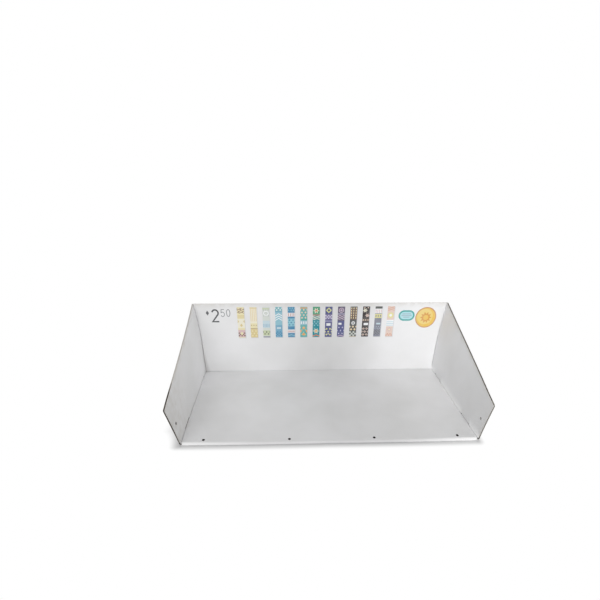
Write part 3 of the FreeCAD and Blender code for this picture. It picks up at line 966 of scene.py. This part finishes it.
# Long rounded field with plain bars
pill = {
    "inset": 0.0040,
    "bars": [(0.0042, 0.0105), (0.0, 0.0125), (-0.0042, 0.0080)],
    "barHalf": 0.0010,
    "barPoints": 8,
    "longer": 0.0008,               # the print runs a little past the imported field
    "rounder": 0.0015,
    "lower": 0.0012,
}


def stadium(x, z, halfLong, radius, points=18):
    right = arc(x + halfLong - radius, z, radius, radius, -90, 90, points)
    left = arc(x - halfLong + radius, z, radius, radius, 90, 270, points)
    return right + left


def printedPill():
    low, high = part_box("print_pill")
    x, z = (low.x + high.x) / 2, (low.z + high.z) / 2 - pill["lower"]
    halfLong, radius = (high.x - low.x) / 2 + pill["longer"], (high.z - low.z) / 2 + pill["rounder"]
    piece = PrintedPiece("pill_print", ["print_pill"], "ink_pill")
    piece.lay("petrol", stadium(x, z, halfLong, radius))
    piece.lay("mint", stadium(x, z, halfLong - pill["inset"], radius - pill["inset"]))
    piece.lay("haze", *[stadium(x, z + up, reach, pill["barHalf"], pill["barPoints"])
                        for up, reach in pill["bars"]])
    piece.done()
    print("pill made")


# Plain price numerals, drawn as strokes
numerals = {
    "big": {"left": -0.2630, "foot": 0.1392, "wide": 0.0175, "tall": 0.0310, "stroke": 0.0036,
            "ink": "numeral"},
    "small": {"left": -0.2410, "foot": 0.1522, "wide": 0.0100, "tall": 0.0190, "stroke": 0.0017,
              "ink": "numeralLight", "pitch": 0.0132},
    "mark": {"x": -0.2728, "z": 0.1618, "half": 0.0040, "tall": 0.0062},
}


def figureStrokes(figure):
    # strokes of a figure in a box one wide and one tall
    if figure == 2:
        return [arc(0.5, 0.73, 0.42, 0.25, 165, -38) + [(0.06, 0.03), (0.97, 0.03)]]
    if figure == 5:
        return [[(0.88, 0.97), (0.20, 0.97), (0.13, 0.55)] + arc(0.47, 0.33, 0.42, 0.29, 128, -152)]
    return [arc(0.5, 0.5, 0.40, 0.46, 0, 180), arc(0.5, 0.5, 0.40, 0.46, 180, 360)]


def strokeOutline(points, stroke, sharpest=0.5):
    left, right = [], []
    for place, (x, z) in enumerate(points):
        before = Vector(points[max(place - 1, 0)])
        after = Vector(points[min(place + 1, len(points) - 1)])
        here = Vector((x, z))
        into = (here - before) if place else (after - here)
        out = (after - here) if place < len(points) - 1 else into
        into.normalize()
        out.normalize()
        run = (into + out).normalized()
        across = Vector((-run.y, run.x)) * stroke / 2 / max(run.dot(into), sharpest)
        left.append((x + across.x, z + across.y))
        right.append((x - across.x, z - across.y))
    return left + right[::-1]


def printedNumerals():
    piece = PrintedPiece("price_numerals", layer=0.0)
    big, small, mark = numerals["big"], numerals["small"], numerals["mark"]
    places = [(2, big, big["left"]), (5, small, small["left"]), (0, small, small["left"] + small["pitch"])]
    for figure, size, left in places:
        wide, tall, foot = size["wide"], size["tall"], size["foot"]
        for strokes in figureStrokes(figure):
            points = [(left + across * wide, foot + up * tall) for across, up in strokes]
            outline = strokeOutline(points, size["stroke"])
            for place in range(len(points) - 1):
                back = len(outline) - 1 - place
                piece.lay(size["ink"], outline[place:place + 2] + outline[back - 1:back + 1])
    piece.lay("mark", [(mark["x"] - mark["half"], mark["z"]), (mark["x"], mark["z"] - mark["tall"]),
                       (mark["x"] + mark["half"], mark["z"]), (mark["x"], mark["z"] + mark["tall"])])
    piece.done()
    print("numerals made")


printedStrips()
printedBadge()
printedPill()
printedNumerals()

# Stage: a pale floor that goes to white away from the tray
stage = {
    "size": 12.0,
    "floor": (222, 222, 222),
    "cloud": (217, 217, 217),
    "clouds": 3.0,
    "cloudMost": 0.4,
    "roughness": 0.9,
    "gloss": 0.1,
    "below": 0.00002,
    "beside": 0.002,                # how far out the tray stands past its floor
    "fade": 0.0165,                 # how far from the tray the floor's shading goes over to white
    "leftShare": (0.8, 0.36),       # the fade is slower to the left, from the front corner backwards
    "leftAlong": (-0.155, -0.105),
}


def makeStage():
    bpy.ops.mesh.primitive_plane_add(size=stage["size"], location=(0, 0, -stage["below"]))
    floor = bpy.context.active_object
    floor.name = "studio_floor"
    board = NodeBoard("studio_floor")
    clouds = board.ramp(board.noise(stage["clouds"], 1.0), 0.0, stage["cloudMost"])
    board.feed("Base Color", board.mix(clouds, screen(*stage["floor"]), screen(*stage["cloud"])))
    board.feed("Roughness", stage["roughness"])
    board.feed("Specular IOR Level", stage["gloss"])
    x, y, _ = board.axes()
    middleY = (noseLine + trayHigh.y) / 2
    foot = floorHalf + stage["beside"]
    rightward = board.sum("SUBTRACT", x, foot)
    share = board.ramp(y, *stage["leftShare"], *stage["leftAlong"])
    leftward = board.sum("MULTIPLY", board.sum("SUBTRACT", board.sum("MULTIPLY", x, -1.0), foot), share)
    beyondX = board.sum("MAXIMUM", board.sum("MAXIMUM", rightward, leftward), 0.0)
    fromMiddle = board.sum("ABSOLUTE", board.sum("SUBTRACT", y, middleY))
    across = board.sum("DIVIDE", x, floorHalf)
    rounded = board.sum("SUBTRACT", 1.0, board.sum("MULTIPLY", across, across))
    bow = board.sum("MAXIMUM", board.sum("MULTIPLY", rounded, blank["noseBow"]), 0.0)
    left, right = blank["cornerForward"]
    swing = board.sum("MAXIMUM", board.sum("MULTIPLY", across, -left), board.sum("MULTIPLY", across, right))
    stands = board.sum("ADD", bow, board.sum("MINIMUM", swing, right))
    reach = board.sum("ADD", stands, trayHigh.y - middleY)
    beyondY = board.sum("MAXIMUM", board.sum("SUBTRACT", fromMiddle, reach), 0.0)
    squares = [board.sum("POWER", part, 2.0) for part in (beyondX, beyondY)]
    beyond = board.sum("SQRT", board.sum("ADD", *squares))
    white = board.ramp(beyond, 0.0, 1.0, 0.0, stage["fade"])
    white.node.interpolation_type = "SMOOTHSTEP"
    seen = board.nodes.new("ShaderNodeLightPath").outputs["Is Camera Ray"]
    glow = board.nodes.new("ShaderNodeEmission")
    mixed = board.nodes.new("ShaderNodeMixShader")
    board.join(board.sum("MULTIPLY", seen, white), mixed.inputs["Fac"])
    board.join(board.shader.outputs["BSDF"], mixed.inputs[1])
    board.join(glow.outputs["Emission"], mixed.inputs[2])
    board.join(mixed.outputs["Shader"], board.nodes["Material Output"].inputs["Surface"])
    floor.data.materials.append(board.material)
    print("stage made")


# Soft studio light
light = {
    "sky": 0.645,
    "key": {"from": (-0.95, -1.9, 1.35), "at": (0.08, 0.08, 0.06), "size": 1.2, "watts": 12.0},
    "spots": {
        "to_right_end": {"from": (0.10, -2.6, 1.0), "at": (0.325, 0.15, 0.12), "cone": 13.2, "watts": 174.0},
        "to_left_end": {"from": (1.2, -2.3, 1.1), "at": (-0.265, 0.15, 0.13), "cone": 12.5, "watts": 130.0},
    },
    "spotSoft": 0.10,
}


def addLight(name, kind, spec):
    data = bpy.data.lights.new(name, kind)
    data.energy = spec["watts"]
    lamp = placed(name, data)
    lamp.location = spec["from"]
    towards = Vector(spec["at"]) - Vector(spec["from"])
    lamp.rotation_euler = towards.to_track_quat("-Z", "Y").to_euler()
    return data


def makeLight():
    world = bpy.data.worlds.new("studio")
    bpy.context.scene.world = world
    world.use_nodes = True
    nodes, links = world.node_tree.nodes, world.node_tree.links
    sky = nodes["Background"]
    sky.inputs["Strength"].default_value = light["sky"]
    backdrop = nodes.new("ShaderNodeBackground")    # what the camera sees behind the tray
    for node in (sky, backdrop):
        node.inputs["Color"].default_value = (1.0, 1.0, 1.0, 1.0)
    path = nodes.new("ShaderNodeLightPath")
    mixed = nodes.new("ShaderNodeMixShader")
    links.new(path.outputs["Is Camera Ray"], mixed.inputs["Fac"])
    links.new(sky.outputs["Background"], mixed.inputs[1])
    links.new(backdrop.outputs["Background"], mixed.inputs[2])
    links.new(mixed.outputs["Shader"], nodes["World Output"].inputs["Surface"])
    addLight("key", "AREA", light["key"]).size = light["key"]["size"]
    for name, spec in light["spots"].items():
        beam = addLight(name, "SPOT", spec)
        beam.spot_size = math.radians(spec["cone"])
        beam.spot_blend = 1.0
        beam.shadow_soft_size = light["spotSoft"]
    print("light made")


# Camera, worked out from the tray's edges and holes in the 600 by 600 frame
view = {
    "place": (-0.0733, -0.8158, 0.5059),
    "down": 29.02,
    "turn": -2.656,
    "roll": 0.549,
    "sensor": 36.0,
    "lens": 25.245,
    "shift": (-0.01487, 0.13685),
}


def makeCamera():
    data = bpy.data.cameras.new("view")
    data.sensor_width = view["sensor"]
    data.lens = view["lens"]
    data.shift_x, data.shift_y = view["shift"]
    camera = placed("view", data)
    turn = Matrix.Rotation(math.radians(view["turn"]), 4, "Z")
    tilt = Matrix.Rotation(math.radians(90 - view["down"]), 4, "X")
    roll = Matrix.Rotation(math.radians(view["roll"]), 4, "Z")
    camera.matrix_world = Matrix.Translation(view["place"]) @ turn @ tilt @ roll
    bpy.context.scene.camera = camera
    print("camera set")


makeStage()
makeLight()
makeCamera()
bpy.context.scene.view_settings.view_transform = "Standard"
